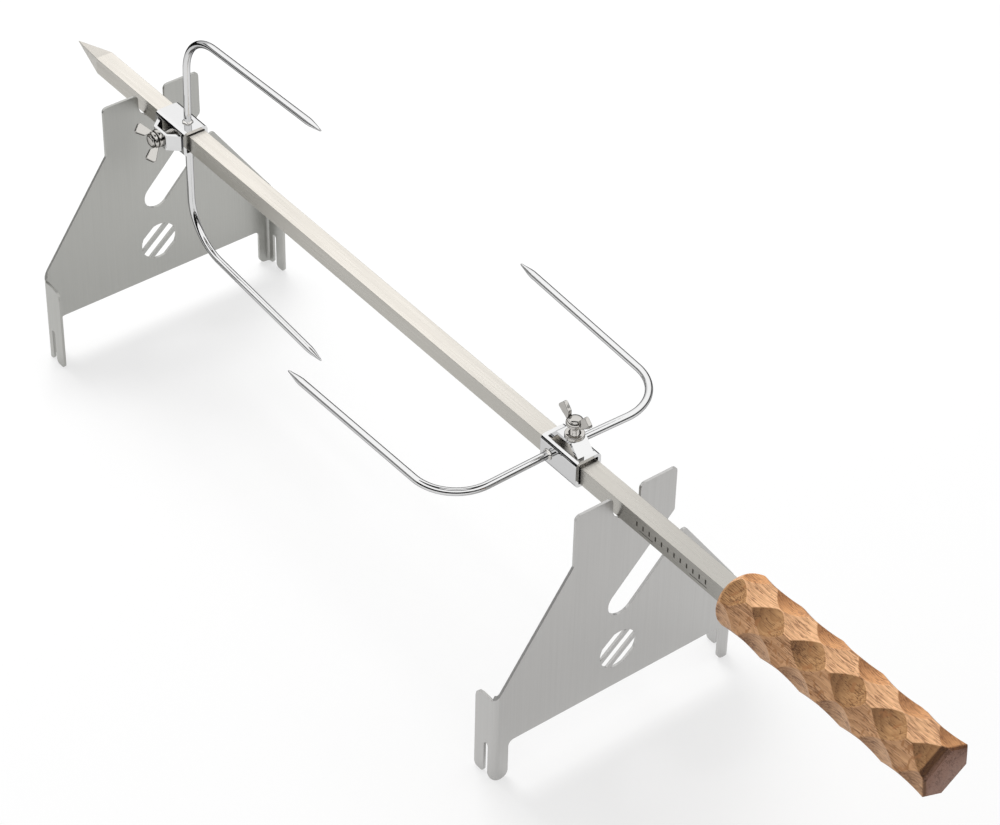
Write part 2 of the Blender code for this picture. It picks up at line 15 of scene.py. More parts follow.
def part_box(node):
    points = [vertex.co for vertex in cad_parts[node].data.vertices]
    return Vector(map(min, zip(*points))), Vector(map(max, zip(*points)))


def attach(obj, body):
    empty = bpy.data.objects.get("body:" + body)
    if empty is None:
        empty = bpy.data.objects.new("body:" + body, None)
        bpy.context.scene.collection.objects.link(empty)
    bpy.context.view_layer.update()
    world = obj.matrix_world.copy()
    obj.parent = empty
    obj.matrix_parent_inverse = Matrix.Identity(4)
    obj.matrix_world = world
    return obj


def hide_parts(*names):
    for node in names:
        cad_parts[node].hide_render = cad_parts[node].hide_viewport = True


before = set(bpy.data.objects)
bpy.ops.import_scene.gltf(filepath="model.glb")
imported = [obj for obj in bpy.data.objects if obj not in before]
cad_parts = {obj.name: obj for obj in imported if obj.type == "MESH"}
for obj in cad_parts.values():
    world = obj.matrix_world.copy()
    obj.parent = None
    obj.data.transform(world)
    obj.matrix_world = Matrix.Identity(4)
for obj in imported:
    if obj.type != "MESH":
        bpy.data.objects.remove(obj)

MM = 0.001
MERGE_DISTANCE = 0.005 * MM
HARD_EDGE = math.radians(40)
EDGE_STEPS = 2
STAND_EDGE = 0.28 * MM
BAR_EDGE = 0.2 * MM
SLEEVE_EDGE = 0.22 * MM
scene = bpy.context.scene
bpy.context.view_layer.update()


# ---------------------------------------------------------------- sizes, from the frame


def middle(node):
    low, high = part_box(node)
    return (Vector(low) + Vector(high)) / 2


AXIS_Z = middle("spit_bar").z
HANDLE_LOW, HANDLE_HIGH = (Vector(corner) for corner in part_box("handle"))
HANDLE_LENGTH = HANDLE_HIGH.x - HANDLE_LOW.x
FAR_SCREW = middle("fork_far_clamp_nut").x
NEAR_SCREW = middle("fork_near_clamp_nut").x
FORKS = {
    "far": Matrix.Translation((FAR_SCREW, 0, AXIS_Z)) @ Matrix.Rotation(math.pi / 2, 4, "X"),
    "near": Matrix.Translation((NEAR_SCREW, 0, AXIS_Z)) @ Matrix.Rotation(math.pi, 4, "Z"),
}
STUD_TOP = {
    "far": -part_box("fork_far_clamp_stud")[0][1],
    "near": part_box("fork_near_clamp_stud")[1][2] - AXIS_Z,
}


# ---------------------------------------------------------------- mesh helpers


def loft(rings, wrap=False):
    """A closed surface through rings of points, capped at its ends or, with wrap, joined end to end."""
    builder = bmesh.new()
    loops = [[builder.verts.new(point) for point in ring] for ring in rings]
    pairs = list(zip(loops, loops[1:]))
    if wrap:
        pairs.append((loops[-1], loops[0]))
    for near, far in pairs:
        for step in range(len(near)):
            builder.faces.new((near[step - 1], near[step], far[step], far[step - 1]))
    if not wrap:
        builder.faces.new(loops[0])
        builder.faces.new(loops[-1])
    bmesh.ops.recalc_face_normals(builder, faces=builder.faces)
    return builder


def lathe(profile, segments, wrap=False, shape=None):
    """Turns (radius, height) points about Z. shape(angle, radius, height) may move a point in or out."""
    rings = []
    for radius, height in profile:
        ring = []
        for step in range(segments):
            angle = math.tau * step / segments
            out = shape(angle, radius, height) if shape else radius
            ring.append((out * math.cos(angle), out * math.sin(angle), height))
        rings.append(ring)
    return loft(rings, wrap)


def rounded_profile(corners):
    """A (radius, height) outline whose (radius, height, rounding) corners are rounded."""
    steps = 5
    outline = []
    for index, corner in enumerate(corners):
        here = Vector(corner[:2])
        if len(corner) == 2:
            outline.append(tuple(here))
            continue
        before = Vector(corners[index - 1][:2]) - here
        after = Vector(corners[(index + 1) % len(corners)][:2]) - here
        start, end = before.normalized() * corner[2], after.normalized() * corner[2]
        for step in range(steps + 1):
            share = step / steps
            bend = start * (1 - share) ** 2 + end * share**2
            outline.append(tuple(here + bend))
    return outline


def new_piece(name, builder, place, body, look, node, sharp):
    """Adds a finished mesh in place of a CAD node. Edges steeper than sharp, in degrees, stay crisp."""
    mesh = bpy.data.meshes.new(name)
    builder.to_mesh(mesh)
    builder.free()
    mesh.transform(place)
    mesh.materials.append(look)
    mesh.shade_smooth()
    mesh.set_sharp_from_angle(angle=math.radians(sharp))
    obj = bpy.data.objects.new(name, mesh)
    scene.collection.objects.link(obj)
    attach(obj, body)
    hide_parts(node)


def soften(node, look, width):
    """Keeps a CAD node's own solid, with a small rounding on its hard edges."""
    obj = bpy.data.objects[node]
    obj.data.materials.clear()
    obj.data.materials.append(look)
    weld = obj.modifiers.new("weld", "WELD")
    weld.merge_threshold = MERGE_DISTANCE
    bevel = obj.modifiers.new("edges", "BEVEL")
    bevel.width = width
    bevel.segments = EDGE_STEPS
    bevel.limit_method = "ANGLE"
    bevel.angle_limit = HARD_EDGE
    bevel.harden_normals = True


# ---------------------------------------------------------------- material helpers


class Shader:
    """One material's node tree, with short calls for the nodes that the looks below share."""

    def __init__(self, name, metallic=0.0, **sockets):
        self.material = bpy.data.materials.new(name)
        self.material.use_nodes = True
        self.tree = self.material.node_tree
        self.surface = self.tree.nodes["Principled BSDF"]
        self.surface.inputs["Metallic"].default_value = metallic
        for socket, value in sockets.items():
            self.surface.inputs[socket.replace("_", " ")].default_value = value
        self.place = self.node("TexCoord").outputs["Object"]

    def node(self, kind, settings=None, inputs=None):
        made = self.tree.nodes.new("ShaderNode" + kind)
        for name, value in (settings or {}).items():
            setattr(made, name, value)
        for socket, value in (inputs or {}).items():
            self.plug(value, made.inputs[socket])
        return made

    def plug(self, value, socket):
        if isinstance(value, bpy.types.NodeSocket):
            self.tree.links.new(value, socket)
        else:
            socket.default_value = value

    def into(self, **sockets):
        for name, value in sockets.items():
            self.plug(value, self.surface.inputs[name.replace("_", " ")])

    def maths(self, operation, first, second=0.0):
        made = self.node("Math", {"operation": operation}, {0: first, 1: second})
        return made.outputs[0]

    def part(self, vector, axis):
        return self.node("SeparateXYZ", inputs={0: vector}).outputs[axis]

    def stretch(self, scale, shift=(0.0, 0.0, 0.0)):
        made = self.node("Mapping", inputs={"Vector": self.place, "Scale": scale, "Location": shift})
        return made.outputs[0]

    def noise(self, scale, detail=2.0, rough=0.5, shift=(0.0, 0.0, 0.0)):
        """Noise with a scale for each axis, in waves per metre."""
        inputs = {"Vector": self.stretch(scale, shift), "Scale": 1.0, "Detail": detail, "Roughness": rough}
        return self.node("TexNoise", inputs=inputs).outputs["Fac"]

    def window(self, value, low, high, out_low=0.0, out_high=1.0):
        inputs = {"Value": value, "From Min": low, "From Max": high, "To Min": out_low, "To Max": out_high}
        return self.node("MapRange", inputs=inputs).outputs["Result"]

    def blend(self, share, first, second, mode="MIX"):
        made = self.node("Mix", {"data_type": "RGBA", "blend_type": mode}, {"Factor": share})
        colours = [socket for socket in made.inputs if socket.type == "RGBA"]
        for socket, value in zip(colours, (first, second)):
            self.plug(value if isinstance(value, bpy.types.NodeSocket) else (*value, 1.0), socket)
        return next(socket for socket in made.outputs if socket.type == "RGBA")

    def bump(self, height, strength, distance, normal=None):
        inputs = {"Height": height, "Strength": strength, "Distance": distance}
        if normal is not None:
            inputs["Normal"] = normal
        return self.node("Bump", inputs=inputs).outputs["Normal"]


def stand_steel():
    """Sheet with a fine upright brushing, and the two stands a shade apart."""
    shader = Shader("stand_steel", metallic=1.0)
    fibre = shader.noise((1500.0, 1500.0, 16.0), 3.0, 0.6)
    patch = shader.noise((22.0, 22.0, 9.0), 2.0)
    far = shader.window(shader.part(shader.place, "X"), -0.1, -0.2)
    light = shader.blend(far, (0.495, 0.49, 0.48), (0.435, 0.435, 0.415))
    dark = shader.blend(far, (0.475, 0.47, 0.46), (0.415, 0.415, 0.395))
    streaked = shader.blend(shader.window(fibre, 0.3, 0.7), dark, light)
    worn = shader.blend(shader.window(patch, 0.35, 0.7, 0.0, 0.25), streaked, light)
    shader.into(
        Base_Color=worn,
        Roughness=shader.window(fibre, 0.3, 0.7, 0.4, 0.35),
        Normal=shader.bump(fibre, 0.05, 0.05 * MM),
    )
    return shader.material


def spit_steel():
    """Bar ground lengthwise, with painted light and shade: warm and bright on top, greyer at its sides and
    towards the handle.
    """
    shader = Shader("spit_steel", metallic=1.0)
    fibre = shader.noise((16.0, 1700.0, 1700.0), 3.0, 0.6)
    long_tone = shader.noise((9.0, 90.0, 90.0), 2.0)
    facing = shader.node("TexCoord").outputs["Normal"]
    # painted light on top and painted shade at the sides: the top gets a much brighter base colour, standing
    # in for the light it catches from above
    side = shader.window(shader.maths("ABSOLUTE", shader.part(facing, "Y")), 0.4, 0.8)
    lit_top_colour = shader.blend(fibre, (0.62, 0.585, 0.53), (0.78, 0.745, 0.69))
    shaded_side_colour = shader.blend(fibre, (0.4, 0.385, 0.35), (0.49, 0.475, 0.44))
    lit_and_shaded_metal = shader.blend(side, lit_top_colour, shaded_side_colour)
    aged = shader.blend(shader.window(long_tone, 0.4, 0.75, 0.0, 0.3), lit_and_shaded_metal, (0.46, 0.44, 0.4))
    # painted shade: the bar darkens towards the handle, standing in for the near stand's shade and dark
    # reflection there
    handle_shade_share = shader.window(shader.part(shader.place, "X"), -0.02, 0.19, 0.0, 0.8)
    shaded_to_handle = shader.blend(handle_shade_share, aged, (0.38, 0.37, 0.345))
    etched = etched_marks(shader, facing)
    shader.into(
        Base_Color=shader.blend(shader.maths("MULTIPLY", etched, 0.8), shaded_to_handle, (0.06, 0.05, 0.04)),
        Roughness=shader.maths("MAXIMUM", shader.window(fibre, 0.3, 0.7, 0.36, 0.24), etched),
        Normal=shader.bump(fibre, 0.1, 0.05 * MM, shader.bump(etched, 0.4, -0.05 * MM)),
    )
    return shader.material


SCALE_START = HANDLE_LOW.x - 62 * MM
SCALE_END = HANDLE_LOW.x - 10 * MM
TICK_PITCH = 4.4 * MM
TICK_SHARE = 0.22
TICK_LOW, TICK_HIGH = AXIS_Z - 1.2 * MM, AXIS_Z + 1.6 * MM
LINE_LOW, LINE_HIGH = AXIS_Z - 2.9 * MM, AXIS_Z - 2.5 * MM


def etched_marks(shader, facing):
    """A plain scale etched in one side: upright ticks over a thin line at each end."""
    x, z = shader.part(shader.place, "X"), shader.part(shader.place, "Z")

    def within(value, low, high):
        above = shader.maths("GREATER_THAN", value, low)
        return shader.maths("MULTIPLY", above, shader.maths("LESS_THAN", value, high))

    along = shader.maths("SUBTRACT", x, SCALE_START)
    phase = shader.maths("FRACT", shader.maths("DIVIDE", along, TICK_PITCH))
    ticks = shader.maths("LESS_THAN", phase, TICK_SHARE)
    tick_rows = shader.maths("MULTIPLY", ticks, within(z, TICK_LOW, TICK_HIGH))
    ticks_here = shader.maths("MULTIPLY", tick_rows, within(x, SCALE_START, SCALE_END))
    line = within(z, LINE_LOW, LINE_HIGH)
    first = within(x, SCALE_START + 2 * MM, SCALE_START + 12 * MM)
    last = within(x, SCALE_END - 14 * MM, SCALE_END - 2 * MM)
    lines = shader.maths("MULTIPLY", line, shader.maths("ADD", first, last))
    marks = shader.maths("MAXIMUM", ticks_here, lines)
    return shader.maths("MULTIPLY", marks, shader.maths("LESS_THAN", shader.part(facing, "Y"), -0.5))


def chrome(name, colour, low, high, uneven):
    """Polished plate with faint smudges. low and high are its roughness, uneven how far it ripples."""
    shader = Shader(name, metallic=1.0, Base_Color=(*colour, 1.0), Specular_Tint=(0.12, 0.12, 0.13, 1.0))
    smudge = shader.noise((120.0, 120.0, 120.0), 3.0, 0.6)
    wave = shader.noise((260.0, 260.0, 260.0), 1.5)
    shader.into(
        Roughness=shader.window(smudge, 0.35, 0.7, low, high),
        Normal=shader.bump(wave, uneven, 0.3 * MM),
    )
    return shader.material


def weld_metal():
    """Bare weld with a coarse grain."""
    shader = Shader("weld_metal", metallic=1.0)
    grain = shader.noise((900.0, 900.0, 900.0), 3.0, 0.6)
    shader.into(
        Base_Color=shader.blend(grain, (0.5, 0.48, 0.45), (0.85, 0.84, 0.82)),
        Roughness=shader.window(grain, 0.3, 0.7, 0.12, 0.3),
        Normal=shader.bump(grain, 0.25, 0.15 * MM),
    )
    return shader.material


PITH_ASIDE, PITH_BELOW = 34 * MM, 30 * MM  # from the handle's axis
RING_WARP = 3.2 * MM
RING_WIDTH = 1.25 * MM


def beech():
    """Oiled beech: rings about a pith outside the handle, fibres along it, dark pores, darker ends, and
    painted light and shade by the way each face turns.
    """
    shader = Shader("handle_wood", Specular_IOR_Level=0.32)
    warp = shader.noise((14.0, 60.0, 60.0), 2.0)
    y = shader.maths("ADD", shader.part(shader.place, "Y"), -PITH_ASIDE)
    z = shader.maths("ADD", shader.part(shader.place, "Z"), PITH_BELOW - AXIS_Z)
    squares = shader.maths("ADD", shader.maths("POWER", y, 2.0), shader.maths("POWER", z, 2.0))
    reach = shader.maths("SQRT", squares)
    bent = shader.maths("ADD", reach, shader.maths("MULTIPLY", warp, RING_WARP))
    ring = shader.maths("FRACT", shader.maths("DIVIDE", bent, RING_WIDTH))
    late = shader.window(ring, 0.4, 1.0)
    fibre = shader.noise((55.0, 2100.0, 2100.0), 3.0, 0.65)
    fleck = shader.noise((150.0, 2300.0, 2300.0), 3.0, 0.6, (3.1, 1.7, 0.0))
    crowd = shader.window(shader.noise((45.0, 190.0, 190.0), 2.0), 0.35, 0.65, -0.06, 0.06)
    pore = shader.window(shader.maths("ADD", fleck, crowd), 0.545, 0.6)
    tone = shader.noise((16.0, 75.0, 75.0), 2.0)

    light = shader.blend(tone, (1.2, 1.17, 1.14), (0.99, 0.92, 0.86))
    ringed = shader.blend(shader.maths("MULTIPLY", late, 0.6), light, (0.62, 0.49, 0.36))
    streaked = shader.blend(shader.window(fibre, 0.36, 0.66, 0.0, 0.6), ringed, (0.64, 0.52, 0.42))
    pored = shader.blend(shader.maths("MULTIPLY", pore, 0.75), streaked, (0.26, 0.16, 0.1))
    facing = shader.node("TexCoord").outputs["Normal"]
    # painted shade: the slopes that face the handle's end, away from the key light, are darkened
    away_from_key = shader.window(shader.part(facing, "X"), -0.05, 0.3)
    slope_painted_shade = shader.blend(away_from_key, (1.06, 1.03, 1.0), (0.66, 0.58, 0.5))
    bevelled = shader.window(shader.part(facing, "X"), 0.5, 0.62)
    chamfered = shader.blend(bevelled, slope_painted_shade, (0.3, 0.22, 0.16))
    # painted light and shade: the wood is toned face by face by the way each face turns about the handle, the
    # upward faces lightest
    facing_lit = shader.blend(1.0, facing_light_tone(shader, facing), chamfered, "MULTIPLY")
    finished = shader.blend(1.0, facing_lit, pored, "MULTIPLY")
    along_rings = shader.maths("SUBTRACT", shader.part(facing, "Z"), shader.part(facing, "Y"))
    ray = shader.window(shader.noise((420.0, 260.0, 260.0), 1.0, 0.5, (0.7, 2.3, 1.1)), 0.6, 0.68)
    ray_here = shader.maths("MULTIPLY", ray, shader.window(along_rings, 1.22, 1.32, 0.0, 0.7))
    finished = shader.blend(ray_here, finished, (0.36, 0.15, 0.05))
    end = shader.window(shader.part(facing, "X"), 0.8, 0.95)
    end_grain = shader.blend(1.0, pored, (0.32, 0.185, 0.14), "MULTIPLY")
    finished = shader.blend(end, finished, end_grain)
    height = shader.maths("SUBTRACT", shader.maths("MULTIPLY", fibre, 0.35), pore)
    shader.into(
        Base_Color=finished,
        Roughness=shader.window(fibre, 0.3, 0.7, 0.62, 0.48),
        Normal=shader.bump(height, 0.35, 0.12 * MM),
    )
    return shader.material


TONE_HALF_WIDTH = 11  # degrees either way that keep a face's tone


def facing_light_tone(shader, facing):
    """The wood's painted light and shade by the way a face turns about the handle, in degrees. Opposite faces
    share one.
    """
    roll = shader.maths("ARCTAN2", shader.part(facing, "Z"), shader.part(facing, "Y"))
    half_turns = shader.maths("FRACT", shader.maths("ADD", shader.maths("DIVIDE", roll, math.pi), 1.0))
    ramp = shader.node("ValToRGB", inputs={"Fac": half_turns})
    tones = (
        (6, (0.64, 0.42, 0.26)),
        (36, (0.52, 0.31, 0.17)),
        (66, (0.7, 0.38, 0.17)),
        (96, (0.82, 0.52, 0.3)),
        (126, (0.46, 0.27, 0.12)),
        (156, (0.62, 0.38, 0.21)),
    )
    stops = []
    for degrees, colour in tones:
        for edge in (degrees - TONE_HALF_WIDTH, degrees + TONE_HALF_WIDTH):
            stops.append((edge / 180 % 1.0, colour))
    elements = ramp.color_ramp.elements
    while len(elements) < len(stops):
        elements.new(0.5)
    for element, (place, colour) in zip(elements, sorted(stops)):
        element.position = place
        element.color = (*colour, 1.0)
    return ramp.outputs["Color"]


LOOKS = {
    "stand": stand_steel(),
    "bar": spit_steel(),
    "chrome": chrome("fork_chrome", (0.67, 0.67, 0.67), 0.02, 0.06, 0.04),
    "clamp": chrome("clamp_steel", (0.5, 0.485, 0.46), 0.04, 0.12, 0.4),
    "weld": weld_metal(),
    "wood": beech(),
}


# ---------------------------------------------------------------- the handle

# From here to the chamfer the sizes are as in the CAD.
HANDLE_FLATS = (15.6 * MM, 15.6 * MM, 15.1 * MM, 13.9 * MM, 14.5 * MM, 15.1 * MM)
HANDLE_CORNER = math.radians(6)
SCALLOP_PITCH = 26.05 * MM
SCALLOP_FIRST = 6.2 * MM
SCALLOP_DEPTH = 4.4 * MM
SCALLOP_RADIUS = 21 * MM
NOSE_RADIUS = 12.5 * MM
NOSE_CENTRE = 3.9 * MM
NOSE_LENGTH = 11.7 * MM
HANDLE_CHAMFER = 1.2 * MM
CREASE = 0.04 * MM  # how soft the carved ridges are
HOLLOW = 1.15 * MM  # how deep each side is hollowed between its neighbours' scallops
END_TRIMS = {2: (3.2 * MM, 1.0), 5: (9 * MM, 0.3)}  # corner: (how far from the end it starts, its slope)
SOCKET = 5.15 * MM  # half the square hole for the bar, a little tighter than in the CAD
SOCKET_DEPTH = 100.3 * MM  # as in the CAD
WHIM_DEPTH, WHIM_SHIFT, WHIM_TURN = 0.25 * MM, 0.5 * MM, math.radians(2.5)  # how far each scallop strays
HANDLE_SEGMENTS = 300
NOSE_STEPS, BODY_STEPS = 34, 320
LEAST_FACING = 0.3  # the cosine below which a face is passed over


def carved_corners(along, whims):
    """(angle, distance) of the six corner cuts at a place along the handle, each scallop a little its own."""
    cuts = []
    for corner in range(6):
        which = round((along - SCALLOP_FIRST) / SCALLOP_PITCH)
        deeper, shift, slant = whims[corner, which]
        offset = along - SCALLOP_FIRST - which * SCALLOP_PITCH - shift
        sag = SCALLOP_RADIUS - math.sqrt(SCALLOP_RADIUS**2 - offset**2)
        sharp = (HANDLE_FLATS[corner - 1] + HANDLE_FLATS[corner]) / (2 * math.cos(math.pi / 6))
        trim_start, trim_slope = END_TRIMS.get(corner, (0, 0))
        trim = trim_slope * max(0.0, along - HANDLE_LENGTH + trim_start)
        reach = sharp - SCALLOP_DEPTH + deeper + sag - trim
        cuts.append((HANDLE_CORNER + corner * math.pi / 3 + slant, reach))
    return cuts


def hollowed_sides(along, whims):
    """(angle, distance) of the six sides at a place along the handle, hollowed between the scallops."""
    sides = []
    for side, flat in enumerate(HANDLE_FLATS):
        which = round((along - SCALLOP_FIRST) / SCALLOP_PITCH - 0.5)
        deeper, shift, slant = whims[side, which]
        offset = (along - SCALLOP_FIRST - shift) / SCALLOP_PITCH - which - 0.5
        hollow = (HOLLOW - deeper) * (1 - min(1.0, abs(2 * offset)) ** 2)
        sides.append((HANDLE_CORNER + (side + 0.5) * math.pi / 3 + slant / 3, flat - hollow))
    return sides


def handle_radius(angle, along, faces):
    """The handle's surface at an angle about its axis: the nearest of its faces, with softened ridges."""
    inset = max(0.0, along - HANDLE_LENGTH + HANDLE_CHAMFER)
    reaches = []
    for facing, distance in faces:
        slope = math.cos(angle - facing)
        if slope > LEAST_FACING:
            reaches.append((distance - inset) / slope)
    if along < NOSE_LENGTH:
        reaches.append(NOSE_CENTRE + math.sqrt(NOSE_RADIUS**2 - (NOSE_LENGTH - along) ** 2))
    nearest = min(reaches)
    return nearest - CREASE * math.log(sum(math.exp((nearest - reach) / CREASE) for reach in reaches))


def build_handle():
    """The carved grip, drilled square for the bar's tang."""
    rng = random.Random(11)
    whims = {}
    for corner in range(6):
        for which in range(-1, 7):
            whims[corner, which] = (
                rng.uniform(-WHIM_DEPTH, WHIM_DEPTH),
                rng.uniform(-WHIM_SHIFT, WHIM_SHIFT),
                rng.uniform(-WHIM_TURN, WHIM_TURN),
            )
    angles = [math.tau * step / HANDLE_SEGMENTS for step in range(HANDLE_SEGMENTS)]
    start = 0.02 * MM  # just behind the CAD's front face
    nose = [NOSE_LENGTH * (step / NOSE_STEPS) ** 2 + start for step in range(NOSE_STEPS)]
    body_length = HANDLE_LENGTH - HANDLE_CHAMFER - NOSE_LENGTH
    body = [NOSE_LENGTH + body_length * step / BODY_STEPS for step in range(BODY_STEPS + 1)]
    chamfer = [HANDLE_LENGTH - HANDLE_CHAMFER * share for share in (0.6, 0.3, 0.1, 0)]

    def ring(along, radius_at):
        points = []
        for angle in angles:
            radius = radius_at(angle)
            points.append((along, radius * math.cos(angle), radius * math.sin(angle)))
        return points

    def socket(angle):
        return SOCKET / max(abs(math.cos(angle)), abs(math.sin(angle)))

    rings = [ring(SOCKET_DEPTH, socket), ring(start, socket)]
    for along in nose + body + chamfer:
        faces = carved_corners(along, whims) + hollowed_sides(along, whims)
        rings.append(ring(along, lambda angle: handle_radius(angle, along, faces)))
    place = Matrix.Translation((HANDLE_LOW.x, 0, AXIS_Z))
    new_piece("handle_carved", loft(rings), place, "spit", LOOKS["wood"], "handle", 50)


# ---------------------------------------------------------------- the forks

PRONG_RADIUS = 2 * MM
PRONG_POINT = 10 * MM
PRONG_START = 7.5 * MM  # the sleeve's side
PRONGS = {  # foot along the sleeve, widest point, bend radius, reach, flare and lean, as in the CAD
    "far_a": (5.9 * MM, 69.7 * MM, 28.8 * MM, 122.9 * MM, math.radians(2), math.radians(2.1)),
    "far_b": (5.9 * MM, 69.1 * MM, 27.5 * MM, 119.5 * MM, math.radians(4.3), 0.0),
    "near_a": (9.9 * MM, 67.8 * MM, 24.6 * MM, 122.6 * MM, math.radians(1.2), math.radians(-0.7)),
    "near_b": (9.9 * MM, 66.6 * MM, 27 * MM, 122.8 * MM, math.radians(2.8), math.radians(-1.9)),
}
PRONG_SEGMENTS = 28
FOOT_STEPS, BEND_STEPS = 12, 40
THREAD_PITCH = 0.8 * MM
THREAD_DEPTH = 0.42 * MM
STUD_RADIUS = 2.4 * MM
STUD_LENGTH = 15.4 * MM
DISC_RADIUS = 3.7 * MM
DISC_HEIGHT = 1.2 * MM
RUN_OUT = 0.6 * MM  # the plain end below the thread
DOME_HEIGHT = 0.57 * MM
DOME_STEPS, DOME_STEP = 8, 0.19
CAST_GRAIN = 0.16 * MM


def prong_route(shape):
    """(x, y, radius) along a prong's middle line, from the sleeve's side to the point."""
    foot, half_span, bend, reach, flare, lean = shape
    bend_start = half_span - bend
    route = []
    for step in range(FOOT_STEPS + 1):
        y = PRONG_START + (bend_start - PRONG_START) * step / FOOT_STEPS
        route.append((foot + (y - PRONG_START) * math.tan(lean), y, PRONG_RADIUS))
    turn_x = route[-1][0]
    for step in range(1, BEND_STEPS + 1):
        angle = lean + (math.pi / 2 - flare - lean) * step / BEND_STEPS
        x = turn_x + bend * (math.cos(lean) - math.cos(angle))
        route.append((x, bend_start + bend * (math.sin(angle) - math.sin(lean)), PRONG_RADIUS))
    bend_x, bend_y, _ = route[-1]
    length = foot + reach - bend_x
    point_share = 1 - PRONG_POINT / length
    widths = [(0.25, 1), (0.5, 1), (0.75, 1)]
    widths += [(point_share - 0.008, 1), (point_share, 0.97), (point_share + 0.02, 0.88)]
    widths += [(0.985, 0.34), (0.994, 0.27), (0.999, 0.16), (1, 0.05)]
    for share, width in widths:
        x = bend_x + length * share
        route.append((x, bend_y + (x - bend_x) * math.tan(flare), PRONG_RADIUS * width))
    return route


def build_prong(word, hand, side):
    """A round drawn wire, ground to a point."""
    route = prong_route(PRONGS[f"{word}_{hand}"])
    up = Vector((0, 0, 1))
    rings = []
    for index, (x, y, radius) in enumerate(route):
        before, after = route[max(index - 1, 0)], route[min(index + 1, len(route) - 1)]
        ahead = Vector((after[0] - before[0], after[1] - before[1], 0)).normalized()
        across = Vector((-ahead.y, ahead.x, 0))
        ring = []
        for step in range(PRONG_SEGMENTS):
            angle = math.tau * step / PRONG_SEGMENTS
            out = math.cos(angle) * across + math.sin(angle) * up
            point = Vector((x, y, 0)) + radius * out
            ring.append((point.x, side * point.y, point.z))
        rings.append(ring)
    node = f"fork_{word}_prong_{hand}"
    body, look = f"fork_{word}", LOOKS["chrome"]
    new_piece(node + "_wire", loft(rings), FORKS[word], body, look, node, 60)


def build_weld(word, hand, side):
    """A low, lumpy bead around the prong's foot."""
    node = f"fork_{word}_weld_{hand}"
    seed = Vector((len(word) * 7.0, side * 3.0, 1.0))

    def lumpy(angle, radius, height):
        if radius <= PRONG_RADIUS + 0.1 * MM:
            return radius
        around = Vector((math.cos(angle) * 1.6, math.sin(angle) * 1.6, height / MM * 0.8)) + seed
        return radius * (1 + 0.09 * noise.noise(around) + 0.03 * math.sin(7 * angle + side))

    inner, outer = 1.9 * MM, 2.9 * MM
    rim = ((outer, 0), (outer + 0.05 * MM, 0.2 * MM), (2.7 * MM, 0.5 * MM), (2.4 * MM, 0.8 * MM))
    profile = [(inner, 0), *rim, (2.15 * MM, 1 * MM), (2.06 * MM, 1.15 * MM), (inner, 1.2 * MM)]
    foot = PRONGS[f"{word}_{hand}"][0]
    turn = Matrix.Rotation(-side * math.pi / 2, 4, "X")
    place = FORKS[word] @ Matrix.Translation((foot, side * (PRONG_START + 0.02 * MM), 0)) @ turn
    builder = lathe(profile, 40, wrap=True, shape=lumpy)
    new_piece(node + "_bead", builder, place, f"fork_{word}", LOOKS["weld"], node, 70)


def build_nut(word):
    """The round clamp nut, its rim rounded and its hole countersunk."""
    node = f"fork_{word}_clamp_nut"
    start, end, radius, bore = 14.42 * MM, 16.6 * MM, 4.9 * MM, 2.6 * MM
    corners = [(bore, start), (radius, start, 0.3 * MM), (radius, end, 0.55 * MM), (bore + 0.5 * MM, end)]
    corners.append((bore, end - 0.5 * MM))
    builder = lathe(rounded_profile(corners), 64, wrap=True)
    new_piece(node + "_ring", builder, FORKS[word], f"fork_{word}", LOOKS["clamp"], node, 40)


def build_stud(word):
    """The clamp screw: a rolled thread under a domed, spread end."""
    node = f"fork_{word}_clamp_stud"
    top = STUD_TOP[word]
    start = top - STUD_LENGTH
    disc = top - DISC_HEIGHT

    def thread(angle, radius, height):
        if radius != STUD_RADIUS:
            return radius
        phase = ((height - start) / THREAD_PITCH - angle / math.tau) % 1.0
        return radius - THREAD_DEPTH * abs(2 * phase - 1)

    root = STUD_RADIUS - THREAD_DEPTH
    threaded = disc - 0.5 * MM - start - RUN_OUT
    steps = round(threaded / (0.1 * MM))
    profile = [(root * 0.7, start), (root, start + 0.5 * MM)]
    profile += [(STUD_RADIUS, start + RUN_OUT + threaded * step / steps) for step in range(steps + 1)]
    profile += [(root, disc - 0.3 * MM), (root, disc), (DISC_RADIUS - 0.25 * MM, disc)]
    profile += [(DISC_RADIUS, disc + 0.2 * MM), (DISC_RADIUS, disc + 0.35 * MM)]
    profile.append((DISC_RADIUS - 0.2 * MM, disc + 0.5 * MM))
    dome_radius, dome_foot = DISC_RADIUS - 0.5 * MM, disc + 0.62 * MM
    profile += [(DISC_RADIUS - 0.42 * MM, disc + 0.52 * MM), (dome_radius, dome_foot)]
    for step in range(1, DOME_STEPS + 1):
        slope = step * DOME_STEP
        profile.append((dome_radius * math.cos(slope), dome_foot + DOME_HEIGHT * math.sin(slope)))
    builder = lathe(profile, 48, shape=thread)
    body, look = f"fork_{word}_stud", LOOKS["clamp"]
    new_piece(node + "_screw", builder, FORKS[word], body, look, node, 50)


def build_wings(word):
    """The wing head, cast: its CAD solid with every edge melted a little."""
    obj = bpy.data.objects[f"fork_{word}_wing_head"]
    obj.data.materials.clear()
    obj.data.materials.append(LOOKS["clamp"])
    remesh = obj.modifiers.new("cast", "REMESH")
    remesh.mode = "VOXEL"
    remesh.voxel_size = CAST_GRAIN
    remesh.use_smooth_shade = True
    smooth = obj.modifiers.new("melt", "SMOOTH")
    smooth.factor = 0.5
    smooth.iterations = 8


def build_forks():
    for word in FORKS:
        soften(f"fork_{word}_sleeve", LOOKS["chrome"], SLEEVE_EDGE)
        for hand, side in (("a", 1), ("b", -1)):
            build_prong(word, hand, side)
            build_weld(word, hand, side)
        build_nut(word)
        build_stud(word)
        build_wings(word)


# ---------------------------------------------------------------- camera, light and floor

